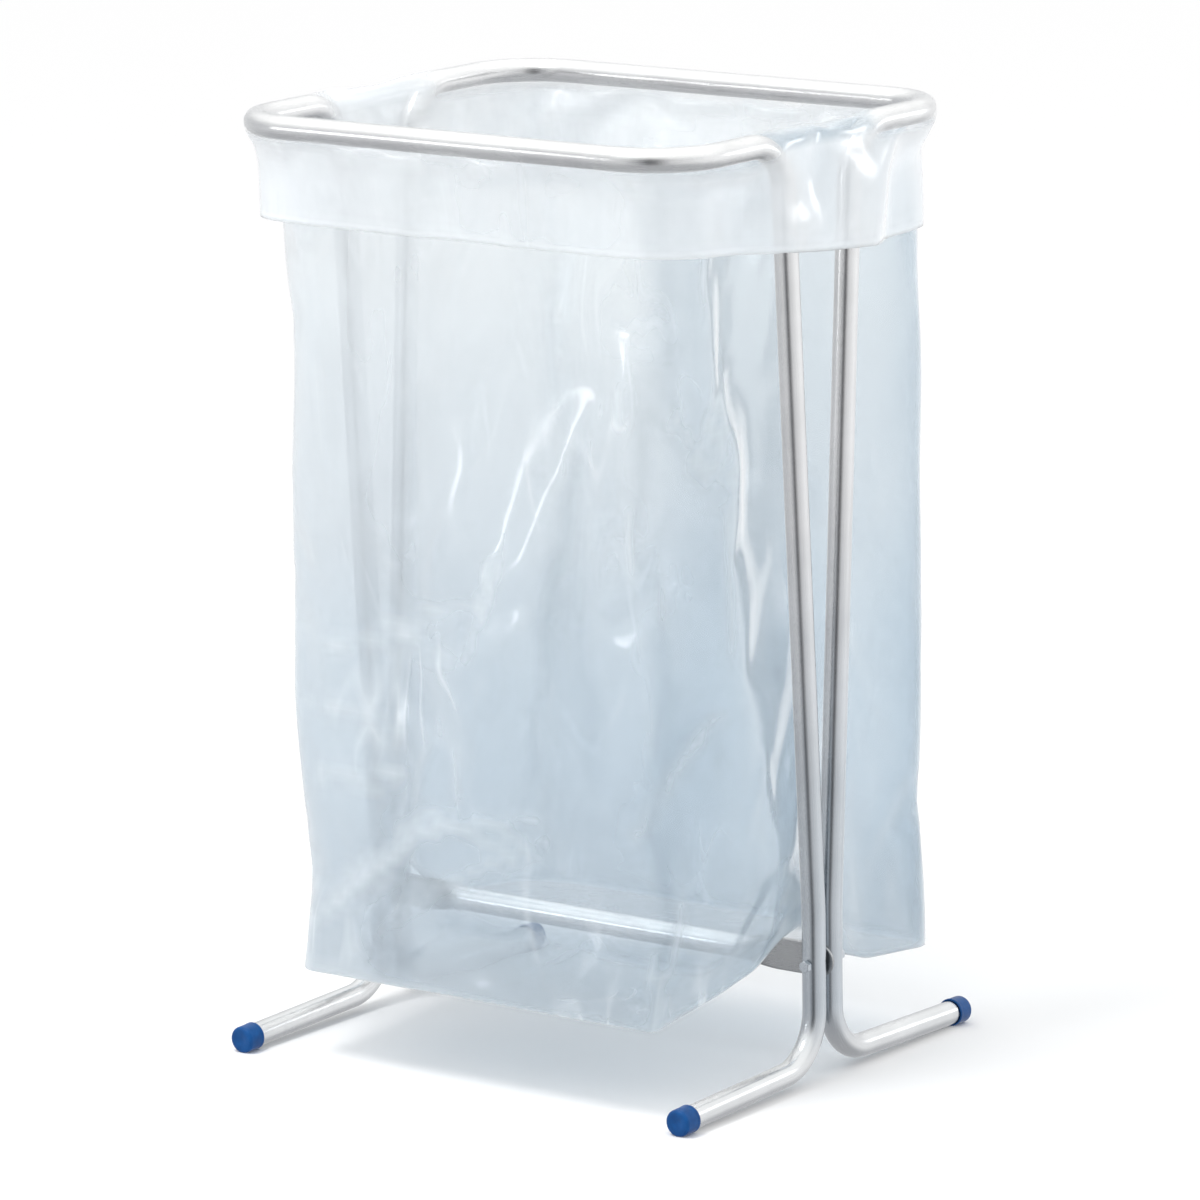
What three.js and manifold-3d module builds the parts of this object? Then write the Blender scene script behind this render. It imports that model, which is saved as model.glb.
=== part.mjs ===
// Free-standing sack holder: two bent tube frames, bolted back to back through a crossbar with
// pressed ends, carry a plastic sack folded out over the rim. Millimetres, +Z up.
// The origin is on the floor, midway between the sides, in the plane where the frames meet.
// The front is at -Y.
import * as THREE from 'three';
import { mergeVertices } from 'three/addons/utils/BufferGeometryUtils.js';
import Module from 'manifold-3d';

const wasm = await Module();
wasm.setup();

// ---- driving dimensions -------------------------------------------------------------------

const TUBE_RADIUS = 12.5;
const TUBE_WALL = 1.5;
const GAP = 0.3; // kept wherever one piece passes through or rests on another

const FRAME_WIDTH = 562; // between the centre-lines of a frame's two legs
const SIDE_X = FRAME_WIDTH / 2;
const RIM_HEIGHT = 983;
const RIM_REACH = { front: 233, back: 246 }; // rim rail centre-line, from the middle plane
const RIM_CORNER_RADIUS = 72;
const RIM_BEND_RADIUS = 56;
const LEG_SPREAD_TOP = 61; // where the leg's line meets the rim's height
const CLAMP_HEIGHT = 125;
const KNEE_HEIGHT = 179;
const KNEE_RADIUS = 300;
const FOOT_BEND_RADIUS = 58;
const FOOT_REACH = 260; // cap tip, from the middle plane
const FOOT_TILT = THREE.MathUtils.degToRad(1.5); // the feet drop towards their tips
const ARC_STEP = THREE.MathUtils.degToRad(15);

const TAB_THICKNESS = 3.6; // the crossbar's tube, pressed flat
const TAB_HEIGHT = 35;
const TAB_SLOT = 0.6; // what is left of the hollow inside a pressed end
const TAB_OVERHANG = 14; // past the bolt
const TAB_FLAT_LENGTH = 68;
const TAB_BLEND_LENGTH = 50;

// The legs stand off the pressed ends by the play that lets the frames rock on their bolts.
const ROCKING_PLAY = 0.6;
const LEG_SPREAD_CLAMP = TUBE_RADIUS + TAB_THICKNESS / 2 + ROCKING_PLAY;

const BOLT_RADIUS = 3;
const BOLT_HOLE_RADIUS = 3.6;
const HEX_ACROSS_FLATS = 11;
const BOLT_HEAD_HEIGHT = 6;
const NUT_HEIGHT = 5.5;
const BOLT_POINT = 2; // past the nut
const HEAD_PLAY = 0.4; // under the bolt head and under the nut

const CAP_RADIUS = 14.6;
const CAP_LENGTH = 22;
const CAP_BASE = 3;
const CAP_ROUND = 3.5;
const CAP_FLAT_DEPTH = 0.7; // the flat that the cap stands on, at the middle of its length
const TOE_HEIGHT = CAP_RADIUS - CAP_FLAT_DEPTH;

const FILM = 0.6; // the sack's film, thickened to a wall that can be modelled
const SACK_SIDE_CLEARANCE = 2.5; // to the legs
const SACK_RAIL_CLEARANCE = 1;
const SACK_BODY_RADIUS = 82;
const CUFF_DROP = { front: 104, back: 128 }; // hem, below the rim tube's centre-line
const CUFF_CLEARANCE = 0.8;
const SACK_BOTTOM = { front: 92, saddle: 146, back: 84 };
const SADDLE_HALF_WIDTH = 24;

// ---- shared helpers -----------------------------------------------------------------------

function signedVolume(geometry) {
  const corners = geometry.toNonIndexed().getAttribute('position');
  const [a, b, c] = [new THREE.Vector3(), new THREE.Vector3(), new THREE.Vector3()];
  let volume = 0;
  for (let i = 0; i < corners.count; i += 3) {
    a.fromBufferAttribute(corners, i);
    b.fromBufferAttribute(corners, i + 1);
    c.fromBufferAttribute(corners, i + 2);
    volume += a.dot(b.cross(c)) / 6;
  }
  return volume;
}

function solid(geometry) {
  const shell = geometry.clone();
  shell.deleteAttribute('normal');
  shell.deleteAttribute('uv');
  const merged = mergeVertices(shell, 1e-4);
  const triVerts = Uint32Array.from(merged.index.array);
  if (signedVolume(merged) < 0) {
    for (let i = 0; i < triVerts.length; i += 3) {
      [triVerts[i], triVerts[i + 1]] = [triVerts[i + 1], triVerts[i]];
    }
  }
  const vertProperties = Float32Array.from(merged.getAttribute('position').array);
  return new wasm.Manifold(new wasm.Mesh({ numProp: 3, vertProperties, triVerts }));
}

function geometryOf(manifold) {
  const { vertProperties, triVerts } = manifold.getMesh();
  const geometry = new THREE.BufferGeometry();
  geometry.setAttribute('position', new THREE.BufferAttribute(vertProperties, 3));
  geometry.setIndex(new THREE.BufferAttribute(triVerts, 1));
  geometry.computeVertexNormals();
  return geometry;
}

function cylinderAlongY(radius, yFrom, yTo, x, z, sides) {
  const cylinder = new THREE.CylinderGeometry(radius, radius, yTo - yFrom, sides);
  return solid(cylinder.translate(x, (yFrom + yTo) / 2, z));
}

// ---- bent tubes ---------------------------------------------------------------------------

// A centre-line given by stations, each a point with its direction, so that the swept tube has
// rings where it bends and none along its straights.
class StationPath extends THREE.Curve {
  constructor(stations) {
    super();
    this.stations = stations;
  }

  stationAt(u) {
    return this.stations[Math.round(u * (this.stations.length - 1))];
  }

  getPoint(u) {
    return this.stationAt(u).point.clone();
  }

  getPointAt(u) {
    return this.getPoint(u);
  }

  getTangentAt(u) {
    return this.stationAt(u).tangent.clone();
  }

  getSpacedPoints() {
    return this.stations.map((station) => station.point.clone());
  }
}

// Stations along an arc that rounds the corner between two straights.
function bendStations(before, corner, after, radius) {
  const incoming = corner.clone().sub(before).normalize();
  const outgoing = after.clone().sub(corner).normalize();
  const turn = incoming.angleTo(outgoing);
  const setback = radius * Math.tan(turn / 2);
  const start = corner.clone().addScaledVector(incoming, -setback);
  const axis = incoming.clone().cross(outgoing).normalize();
  const centre = start.clone().addScaledVector(axis.clone().cross(incoming), radius);
  const steps = Math.max(1, Math.ceil(turn / ARC_STEP));
  const stations = [];
  for (let i = 0; i <= steps; i += 1) {
    const angle = (turn * i) / steps;
    const arm = start.clone().sub(centre).applyAxisAngle(axis, angle);
    stations.push({ point: arm.add(centre), tangent: incoming.clone().applyAxisAngle(axis, angle) });
  }
  return stations;
}

function bentPath(corners) {
  const points = corners.map((corner) => corner.at);
  const first = points[0];
  const last = points[points.length - 1];
  const stations = [{ point: first, tangent: points[1].clone().sub(first).normalize() }];
  for (let i = 1; i < points.length - 1; i += 1) {
    stations.push(...bendStations(points[i - 1], points[i], points[i + 1], corners[i].radius));
  }
  stations.push({ point: last, tangent: last.clone().sub(points[points.length - 2]).normalize() });
  return new StationPath(stations);
}

function sweptRod(path, radius, sides) {
  const circle = new THREE.Shape().absarc(0, 0, radius, 0, 2 * Math.PI);
  const sweep = new THREE.ExtrudeGeometry(circle, {
    curveSegments: sides / 2,
    steps: path.stations.length - 1,
    extrudePath: path,
    bevelEnabled: false,
  });
  return solid(sweep);
}

// ---- the two tube frames ------------------------------------------------------------------

function toeHeightAt(reach) {
  return TOE_HEIGHT + (FOOT_REACH - CAP_LENGTH / 2 - reach) * Math.tan(FOOT_TILT);
}

// One side of a frame, from the foot's end up to the rim's corner. `out` is -1 or +1 along Y.
function frameSide(x, out, rimReach, footEnd) {
  const at = (reach, z) => new THREE.Vector3(x, out * reach, z);
  return [
    { at: at(footEnd, toeHeightAt(footEnd)) },
    { at: at(LEG_SPREAD_CLAMP, toeHeightAt(LEG_SPREAD_CLAMP)), radius: FOOT_BEND_RADIUS },
    { at: at(LEG_SPREAD_CLAMP, KNEE_HEIGHT), radius: KNEE_RADIUS },
    { at: at(LEG_SPREAD_TOP, RIM_HEIGHT), radius: RIM_BEND_RADIUS },
    { at: at(rimReach, RIM_HEIGHT), radius: RIM_CORNER_RADIUS },
  ];
}

function framePath(out, rimReach, footEnd) {
  const right = frameSide(SIDE_X, out, rimReach, footEnd);
  const left = frameSide(-SIDE_X, out, rimReach, footEnd).reverse();
  return bentPath([...right, ...left]);
}

function tubeFrame(out, rimReach) {
  const footEnd = FOOT_REACH - CAP_BASE - GAP;
  const hollowOverrun = 1;
  let frame = sweptRod(framePath(out, rimReach, footEnd), TUBE_RADIUS, 16);
  const hollowPath = framePath(out, rimReach, footEnd + hollowOverrun);
  frame = frame.subtract(sweptRod(hollowPath, TUBE_RADIUS - TUBE_WALL, 10));
  for (const x of [-SIDE_X, SIDE_X]) {
    const legCentre = out * LEG_SPREAD_CLAMP;
    const from = legCentre - 2 * TUBE_RADIUS;
    const to = legCentre + 2 * TUBE_RADIUS;
    frame = frame.subtract(cylinderAlongY(BOLT_HOLE_RADIUS, from, to, x, CLAMP_HEIGHT, 16));
  }
  return geometryOf(frame);
}

// ---- the crossbar -------------------------------------------------------------------------

// A tube section pressed between two flats: straight sides joined by half circles.
function pressedPoint(angle, halfHeight, halfThickness) {
  const z = halfHeight * Math.sin(angle);
  const past = Math.max(0, Math.abs(z) - (halfHeight - halfThickness));
  const y = Math.sqrt(Math.max(0, halfThickness ** 2 - past ** 2));
  return { y: Math.cos(angle) < 0 ? -y : y, z };
}

function pressedAmount(x, tabEnd) {
  const intoBlend = Math.abs(x) - (tabEnd - TAB_FLAT_LENGTH - TAB_BLEND_LENGTH);
  return THREE.MathUtils.smoothstep(intoBlend / TAB_BLEND_LENGTH, 0, 1);
}

function crossbarStations(halfLength, tabEnd) {
  const flatStart = tabEnd - TAB_FLAT_LENGTH;
  const blendSteps = 6;
  const positive = [0];
  for (let i = 0; i <= blendSteps; i += 1) {
    positive.push(flatStart - TAB_BLEND_LENGTH * (1 - i / blendSteps));
  }
  positive.push(halfLength);
  return [...positive.slice(1).reverse().map((x) => -x), ...positive];
}

// A cylinder along X whose sections are pressed flat towards both ends.
function pressedRod(halfLength, tabEnd, radius, halfTabHeight, halfTabThickness, sides) {
  const stations = crossbarStations(halfLength, tabEnd);
  const segments = stations.length - 1;
  const rod = new THREE.CylinderGeometry(1, 1, segments, sides, segments);
  const position = rod.getAttribute('position');
  for (let i = 0; i < position.count; i += 1) {
    const x = stations[Math.round(position.getY(i) + segments / 2)];
    const centreVertex = Math.hypot(position.getX(i), position.getZ(i)) < 0.5;
    const angle = Math.atan2(position.getZ(i), position.getX(i));
    const amount = pressedAmount(x, tabEnd);
    const halfHeight = THREE.MathUtils.lerp(radius, halfTabHeight, amount);
    const halfThickness = THREE.MathUtils.lerp(radius, halfTabThickness, amount);
    const { y, z } = centreVertex ? { y: 0, z: 0 } : pressedPoint(angle, halfHeight, halfThickness);
    position.setXYZ(i, x, y, z);
  }
  return solid(rod);
}

function tabOutline(tabEnd) {
  const cornerRadius = TAB_HEIGHT / 2;
  const outline = new THREE.Shape();
  outline.absarc(tabEnd - cornerRadius, 0, cornerRadius, -Math.PI / 2, Math.PI / 2);
  outline.absarc(cornerRadius - tabEnd, 0, cornerRadius, Math.PI / 2, (3 * Math.PI) / 2);
  const depth = 4 * TUBE_RADIUS;
  const slab = new THREE.ExtrudeGeometry(outline, { depth, bevelEnabled: false, curveSegments: 8 });
  return solid(slab.rotateX(Math.PI / 2).translate(0, depth / 2, 0));
}

function crossbarGeometry() {
  const tabEnd = SIDE_X + TAB_OVERHANG;
  const slotOverrun = 2;
  const outside = pressedRod(tabEnd, tabEnd, TUBE_RADIUS, TAB_HEIGHT / 2, TAB_THICKNESS / 2, 20);
  const inside = pressedRod(
    tabEnd + slotOverrun,
    tabEnd,
    TUBE_RADIUS - TUBE_WALL,
    TAB_HEIGHT / 2 - TUBE_WALL,
    TAB_SLOT / 2,
    12,
  );
  let bar = outside.intersect(tabOutline(tabEnd)).subtract(inside);
  for (const x of [-SIDE_X, SIDE_X]) {
    bar = bar.subtract(cylinderAlongY(BOLT_HOLE_RADIUS, -TAB_THICKNESS, TAB_THICKNESS, x, 0, 16));
  }
  return geometryOf(bar);
}

// ---- bolts and nuts -----------------------------------------------------------------------

const CLAMPED_HALF_WIDTH = LEG_SPREAD_CLAMP + TUBE_RADIUS + HEAD_PLAY;

function hexPrism(height) {
  const acrossCorners = HEX_ACROSS_FLATS / Math.cos(Math.PI / 6);
  return new THREE.CylinderGeometry(acrossCorners / 2, acrossCorners / 2, height, 6);
}

// Along Y, with the underside of the head at the origin and the shank towards +Y.
function boltGeometry() {
  const length = 2 * CLAMPED_HALF_WIDTH + NUT_HEIGHT + BOLT_POINT;
  const head = solid(hexPrism(BOLT_HEAD_HEIGHT).translate(0, -BOLT_HEAD_HEIGHT / 2, 0));
  return geometryOf(head.add(cylinderAlongY(BOLT_RADIUS, -1, length, 0, 0, 16)));
}

// Along Y, with the face that meets the leg at the origin.
function nutGeometry() {
  const body = solid(hexPrism(NUT_HEIGHT).translate(0, NUT_HEIGHT / 2, 0));
  const bore = cylinderAlongY(BOLT_RADIUS + GAP, -1, NUT_HEIGHT + 1, 0, 0, 16);
  return geometryOf(body.subtract(bore));
}

// ---- foot caps ----------------------------------------------------------------------------

function capProfile() {
  const bore = TUBE_RADIUS + GAP;
  const roundStart = CAP_LENGTH - CAP_ROUND;
  const profile = [
    new THREE.Vector2(0, CAP_LENGTH - CAP_BASE),
    new THREE.Vector2(bore, CAP_LENGTH - CAP_BASE),
    new THREE.Vector2(bore, 0),
    new THREE.Vector2(CAP_RADIUS, 0),
  ];
  const roundSteps = 3;
  for (let i = 0; i <= roundSteps; i += 1) {
    const angle = (Math.PI / 2) * (i / roundSteps);
    const r = CAP_RADIUS - CAP_ROUND + CAP_ROUND * Math.cos(angle);
    profile.push(new THREE.Vector2(r, roundStart + CAP_ROUND * Math.sin(angle)));
  }
  profile.push(new THREE.Vector2(0, CAP_LENGTH));
  return profile;
}

// Pointing towards -Y, with the middle of its length on the origin's Z axis, already tilted
// with the foot, and cut by the floor so that it stands on a flat.
function capGeometry() {
  const turned = new THREE.LatheGeometry(capProfile(), 24);
  turned.rotateX(Math.PI).translate(0, CAP_LENGTH / 2, 0);
  turned.rotateX(FOOT_TILT).translate(0, 0, TOE_HEIGHT);
  const size = 4 * CAP_RADIUS;
  const belowFloor = new THREE.BoxGeometry(size, size, size).translate(0, 0, -size / 2);
  return geometryOf(solid(turned).subtract(solid(belowFloor)));
}

// ---- the sack -----------------------------------------------------------------------------

function roundedPrism(outline, radius, zFrom, zTo) {
  const { halfWidth, front, back } = outline;
  const shape = new THREE.Shape();
  shape.absarc(halfWidth - radius, front + radius, radius, -Math.PI / 2, 0);
  shape.absarc(halfWidth - radius, back - radius, radius, 0, Math.PI / 2);
  shape.absarc(radius - halfWidth, back - radius, radius, Math.PI / 2, Math.PI);
  shape.absarc(radius - halfWidth, front + radius, radius, Math.PI, (3 * Math.PI) / 2);
  const depth = zTo - zFrom;
  const prism = new THREE.ExtrudeGeometry(shape, { depth, bevelEnabled: false, curveSegments: 4 });
  return solid(prism.translate(0, 0, zFrom));
}

function grown(outline, by) {
  return { halfWidth: outline.halfWidth + by, front: outline.front - by, back: outline.back + by };
}

// Everything above a line drawn in side view, as a slab across the full width.
function slabAbove(sideLine) {
  const top = RIM_HEIGHT + 4 * TUBE_RADIUS;
  const shape = new THREE.Shape(sideLine.map(([y, z]) => new THREE.Vector2(y, z)));
  shape.lineTo(sideLine[sideLine.length - 1][0], top);
  shape.lineTo(sideLine[0][0], top);
  const depth = 2 * FRAME_WIDTH;
  const slab = new THREE.ExtrudeGeometry(shape, { depth, bevelEnabled: false });
  slab.rotateX(Math.PI / 2).rotateZ(Math.PI / 2);
  return solid(slab.translate(-depth / 2, 0, 0));
}

// The sack's bottom sags in front of and behind the crossbar that it lies over.
function sackBottomLine(raise) {
  return [
    [-2 * RIM_REACH.front, SACK_BOTTOM.front + raise],
    [-RIM_REACH.front, SACK_BOTTOM.front + raise],
    [-SADDLE_HALF_WIDTH, SACK_BOTTOM.saddle + raise],
    [SADDLE_HALF_WIDTH, SACK_BOTTOM.saddle + raise],
    [RIM_REACH.back, SACK_BOTTOM.back + raise],
    [2 * RIM_REACH.back, SACK_BOTTOM.back + raise],
  ];
}

// The hem of the folded-out mouth runs lower at the back than at the front.
function hemLine() {
  const beyond = 2 * RIM_REACH.back;
  const slope = (CUFF_DROP.front - CUFF_DROP.back) / (RIM_REACH.front + RIM_REACH.back);
  const middle = RIM_HEIGHT - (CUFF_DROP.front + CUFF_DROP.back) / 2;
  return [
    [-beyond, middle - beyond * slope],
    [beyond, middle + beyond * slope],
  ];
}

function sackGeometry() {
  const body = {
    halfWidth: SIDE_X - TUBE_RADIUS - SACK_SIDE_CLEARANCE,
    front: -(RIM_REACH.front - TUBE_RADIUS - SACK_RAIL_CLEARANCE),
    back: RIM_REACH.back - TUBE_RADIUS - SACK_RAIL_CLEARANCE,
  };
  const cuff = {
    halfWidth: SIDE_X + TUBE_RADIUS + CUFF_CLEARANCE,
    front: -(RIM_REACH.front + TUBE_RADIUS + CUFF_CLEARANCE),
    back: RIM_REACH.back + TUBE_RADIUS + CUFF_CLEARANCE,
  };
  const cuffRadius = RIM_CORNER_RADIUS + TUBE_RADIUS;
  const foldUnder = RIM_HEIGHT + TUBE_RADIUS + CUFF_CLEARANCE;
  const foldTop = foldUnder + FILM;
  const low = 0;
  const outerBody = roundedPrism(body, SACK_BODY_RADIUS, low, foldTop);
  const bodyHollow = roundedPrism(grown(body, -FILM), SACK_BODY_RADIUS - FILM, low, foldTop + FILM);
  const bodyShell = outerBody
    .intersect(slabAbove(sackBottomLine(0)))
    .subtract(bodyHollow.intersect(slabAbove(sackBottomLine(FILM))));
  const cuffShell = roundedPrism(grown(cuff, FILM), cuffRadius + FILM, low, foldTop)
    .intersect(slabAbove(hemLine()))
    .subtract(roundedPrism(cuff, cuffRadius, low - FILM, foldUnder))
    .subtract(bodyHollow);
  return geometryOf(bodyShell.add(cuffShell));
}

// ---- materials ----------------------------------------------------------------------------

function finish(color, roughness, metalness) {
  return new THREE.MeshStandardMaterial({ color, roughness, metalness });
}

const zincTube = () => finish(0xb9b8b4, 0.3, 0.95);
const zincFastener = () => finish(0xcfcfcc, 0.25, 0.95);
const bluePlastic = () => finish(0x1c2c7c, 0.4, 0);

function clearFilm() {
  const film = finish(0xc7d3dc, 0.25, 0);
  film.transparent = true;
  film.opacity = 0.45;
  return film;
}

// ---- assembly -----------------------------------------------------------------------------

function named(name, geometry, material) {
  const mesh = new THREE.Mesh(geometry, material);
  mesh.name = name;
  return mesh;
}

const holder = new THREE.Group();
holder.name = 'plastic_bag_holder';

holder.add(named('front_frame', tubeFrame(-1, RIM_REACH.front), zincTube()));
holder.add(named('back_frame', tubeFrame(1, RIM_REACH.back), zincTube()));

const crossbar = named('crossbar', crossbarGeometry(), zincTube());
crossbar.position.z = CLAMP_HEIGHT;
holder.add(crossbar);

for (const [side, x] of [['left', -SIDE_X], ['right', SIDE_X]]) {
  const bolt = named(`clamp_bolt_${side}`, boltGeometry(), zincFastener());
  bolt.position.set(x, -CLAMPED_HALF_WIDTH, CLAMP_HEIGHT);
  const nut = named(`clamp_nut_${side}`, nutGeometry(), zincFastener());
  nut.position.set(x, CLAMPED_HALF_WIDTH, CLAMP_HEIGHT);
  holder.add(bolt, nut);

  for (const [end, out] of [['front', -1], ['back', 1]]) {
    const cap = named(`foot_cap_${end}_${side}`, capGeometry(), bluePlastic());
    cap.position.set(x, out * (FOOT_REACH - CAP_LENGTH / 2), 0);
    cap.rotation.z = out < 0 ? 0 : Math.PI;
    holder.add(cap);
  }
}

holder.add(named('sack', sackGeometry(), clearFilm()));

export default holder;
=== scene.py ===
"""Looks for the free-standing sack holder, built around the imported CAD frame. Metres, +Z up.

The metal pieces are rebuilt as smooth tubes and fasteners, and the sack is a draped sheet of film.
"""

import math
from types import SimpleNamespace

import bmesh
import bpy
import numpy as np
from mathutils import Matrix, Quaternion, Vector


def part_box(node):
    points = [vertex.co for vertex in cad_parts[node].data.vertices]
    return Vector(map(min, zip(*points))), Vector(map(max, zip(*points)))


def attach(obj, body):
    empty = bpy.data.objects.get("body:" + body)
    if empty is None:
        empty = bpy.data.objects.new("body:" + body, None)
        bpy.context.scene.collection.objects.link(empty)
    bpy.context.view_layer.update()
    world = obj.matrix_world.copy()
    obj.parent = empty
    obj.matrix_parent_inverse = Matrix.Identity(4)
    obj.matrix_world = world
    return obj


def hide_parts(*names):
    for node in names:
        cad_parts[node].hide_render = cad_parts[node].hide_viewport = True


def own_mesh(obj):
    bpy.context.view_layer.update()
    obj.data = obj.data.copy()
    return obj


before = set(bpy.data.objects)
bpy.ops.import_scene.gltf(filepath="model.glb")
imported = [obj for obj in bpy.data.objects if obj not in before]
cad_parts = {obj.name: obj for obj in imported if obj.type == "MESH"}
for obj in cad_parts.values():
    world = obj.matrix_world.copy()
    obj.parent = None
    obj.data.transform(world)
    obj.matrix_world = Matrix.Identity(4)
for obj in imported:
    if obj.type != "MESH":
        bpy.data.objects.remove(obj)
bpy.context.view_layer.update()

MM = 0.001

# ---- dimensions shared with the CAD ----

TUBE_RADIUS = 12.5 * MM
SIDE_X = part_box("front_frame")[1].x - TUBE_RADIUS
RIM_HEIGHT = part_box("front_frame")[1].z - TUBE_RADIUS
RIM_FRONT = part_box("front_frame")[0].y + TUBE_RADIUS
RIM_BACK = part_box("back_frame")[1].y - TUBE_RADIUS
RIM_CORNER_RADIUS = 72 * MM
RIM_BEND_RADIUS = 56 * MM
LEG_SPREAD_TOP = 61 * MM
CLAMP_HEIGHT = (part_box("crossbar")[0].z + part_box("crossbar")[1].z) / 2
KNEE_HEIGHT = 179 * MM
KNEE_RADIUS = 300 * MM
FOOT_BEND_RADIUS = 58 * MM
FOOT_TILT = math.radians(1.5)

TAB_THICKNESS = 3.6 * MM
TAB_HALF_HEIGHT = (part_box("crossbar")[1].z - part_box("crossbar")[0].z) / 2
TAB_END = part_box("crossbar")[1].x
TAB_FLAT_LENGTH = 68 * MM
TAB_BLEND_LENGTH = 50 * MM
LEG_SPREAD_CLAMP = TUBE_RADIUS + TAB_THICKNESS / 2 + 0.6 * MM

BOLT_RADIUS = 3 * MM
BOLT_HOLE_RADIUS = 3.6 * MM
HEX_ACROSS_FLATS = 11 * MM
BOLT_HEAD_HEIGHT = 6 * MM
NUT_HEIGHT = 5.5 * MM
HEAD_PLAY = 0.4 * MM
CLAMPED_HALF_WIDTH = LEG_SPREAD_CLAMP + TUBE_RADIUS + HEAD_PLAY
BOLT_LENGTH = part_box("clamp_bolt_right")[1].y + CLAMPED_HALF_WIDTH

CAP_RADIUS = 14.6 * MM
CAP_LENGTH = 22 * MM
CAP_BASE = 3 * MM
CAP_GAP = 0.3 * MM
CAP_REACH = -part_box("foot_cap_front_right")[0].y
TOE_HEIGHT = 13.9 * MM


# ---- mesh helpers ----


def new_object(name, data):
    """An object in the scene."""
    obj = bpy.data.objects.new(name, data)
    bpy.context.scene.collection.objects.link(obj)
    return obj


def mesh_object(name, vertices, faces):
    """A smooth-shaded mesh object from points and index tuples."""
    mesh = bpy.data.meshes.new(name)
    mesh.from_pydata([tuple(v) for v in vertices], [], [tuple(f) for f in faces])
    mesh.polygons.foreach_set("use_smooth", [True] * len(mesh.polygons))
    mesh.update()
    return new_object(name, mesh)


def apply_modifiers(obj):
    """Replaces the object's mesh with what its modifiers make of it."""
    depsgraph = bpy.context.evaluated_depsgraph_get()
    final = bpy.data.meshes.new_from_object(obj.evaluated_get(depsgraph))
    obj.modifiers.clear()
    obj.data = final
    return obj


def cut(obj, tools):
    """Subtracts each tool object from obj and removes the tool."""
    for tool in tools:
        boolean = obj.modifiers.new("cut", "BOOLEAN")
        boolean.operation = "DIFFERENCE"
        boolean.solver = "EXACT"
        boolean.object = tool
        apply_modifiers(obj)
        bpy.data.objects.remove(tool)
    return obj


def shade_by_angle(obj, degrees):
    """Keeps edges sharper than the given angle sharp and smooths the rest."""
    mesh = obj.data
    edit = bmesh.new()
    edit.from_mesh(mesh)
    for face in edit.faces:
        face.smooth = True
    for edge in edit.edges:
        edge.smooth = len(edge.link_faces) == 2 and edge.calc_face_angle(0) < math.radians(degrees)
    edit.to_mesh(mesh)
    edit.free()
    return obj


def ring_faces(rings, sides, closed_ends=True):
    """Quads between successive rings, with one cap face on each end."""
    faces = []
    for ring in range(rings - 1):
        for side in range(sides):
            after = (side + 1) % sides
            low, high = ring * sides, (ring + 1) * sides
            faces.append((low + side, low + after, high + after, high + side))
    if closed_ends:
        faces.append(tuple(reversed(range(sides))))
        faces.append(tuple((rings - 1) * sides + side for side in range(sides)))
    return faces


def smoothstep(value, start, end):
    """0 at start and before it, 1 at end and past it, with an even ease between."""
    share = np.clip((np.asarray(value, float) - start) / (end - start), 0, 1)
    return share * share * (3 - 2 * share)


# ---- bent tubes ----

TUBE_SIDES = 48
BORE_SIDES = 32
BEND_STEP = math.radians(4)
STRAIGHT_STEP = 40 * MM
SMOOTH_TURN = 40  # degrees; sharper edges of tubes and bars stay sharp


def bend_stations(before, corner, after, radius):
    """Stations (point, tangent) along the arc that rounds a corner between two straights."""
    incoming = (corner - before).normalized()
    outgoing = (after - corner).normalized()
    turn = incoming.angle(outgoing)
    start = corner - incoming * radius * math.tan(turn / 2)
    axis = incoming.cross(outgoing).normalized()
    centre = start + axis.cross(incoming) * radius
    steps = max(2, math.ceil(turn / BEND_STEP))
    stations = []
    for step in range(steps + 1):
        spin = Quaternion(axis, turn * step / steps)
        stations.append((centre + spin @ (start - centre), spin @ incoming))
    return stations


def straight_stations(start, end):
    """Stations strictly between two points, so that long straights carry regular rings."""
    count = int((end - start).length / STRAIGHT_STEP)
    direction = (end - start).normalized()
    return [(start.lerp(end, step / (count + 1)), direction) for step in range(1, count + 1)]


def bent_path(corners):
    """Stations from the first to the last of a list of (point, bend radius); the end points have
    no bend."""
    points = [point for point, _ in corners]
    bends = [[(points[0], (points[1] - points[0]).normalized())]]
    for index in range(1, len(points) - 1):
        radius = corners[index][1]
        bends.append(bend_stations(points[index - 1], points[index], points[index + 1], radius))
    bends.append([(points[-1], (points[-1] - points[-2]).normalized())])
    stations = list(bends[0])
    for bend in bends[1:]:
        stations += straight_stations(stations[-1][0], bend[0][0])
        stations += bend
    return stations


def sweep(name, stations, radius, sides=TUBE_SIDES):
    """A closed round rod along the stations, with UVs: U round the tube, V along it in metres."""
    normal = stations[0][1].orthogonal().normalized()
    vertices, travelled = [], [0.0]
    for index, (point, tangent) in enumerate(stations):
        normal = (normal - tangent * normal.dot(tangent)).normalized()
        side = tangent.cross(normal)
        for step in range(sides):
            angle = 2 * math.pi * step / sides
            vertices.append(point + (normal * math.cos(angle) + side * math.sin(angle)) * radius)
        if index:
            travelled.append(travelled[-1] + (point - stations[index - 1][0]).length)
    obj = mesh_object(name, vertices, ring_faces(len(stations), sides))
    add_sweep_uvs(obj, travelled, sides)
    return shade_by_angle(obj, SMOOTH_TURN)


def add_sweep_uvs(obj, travelled, sides):
    """U runs round each ring and V is the length travelled to it."""
    layer = obj.data.uv_layers.new(name="sweep")
    for polygon in obj.data.polygons:
        columns = [obj.data.loops[loop].vertex_index % sides for loop in polygon.loop_indices]
        wraps = max(columns) - min(columns) > sides / 2
        for loop, column in zip(polygon.loop_indices, columns):
            ring = obj.data.loops[loop].vertex_index // sides
            around = column + sides if wraps and column < sides / 2 else column
            layer.data[loop].uv = (around / sides, travelled[ring])


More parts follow.
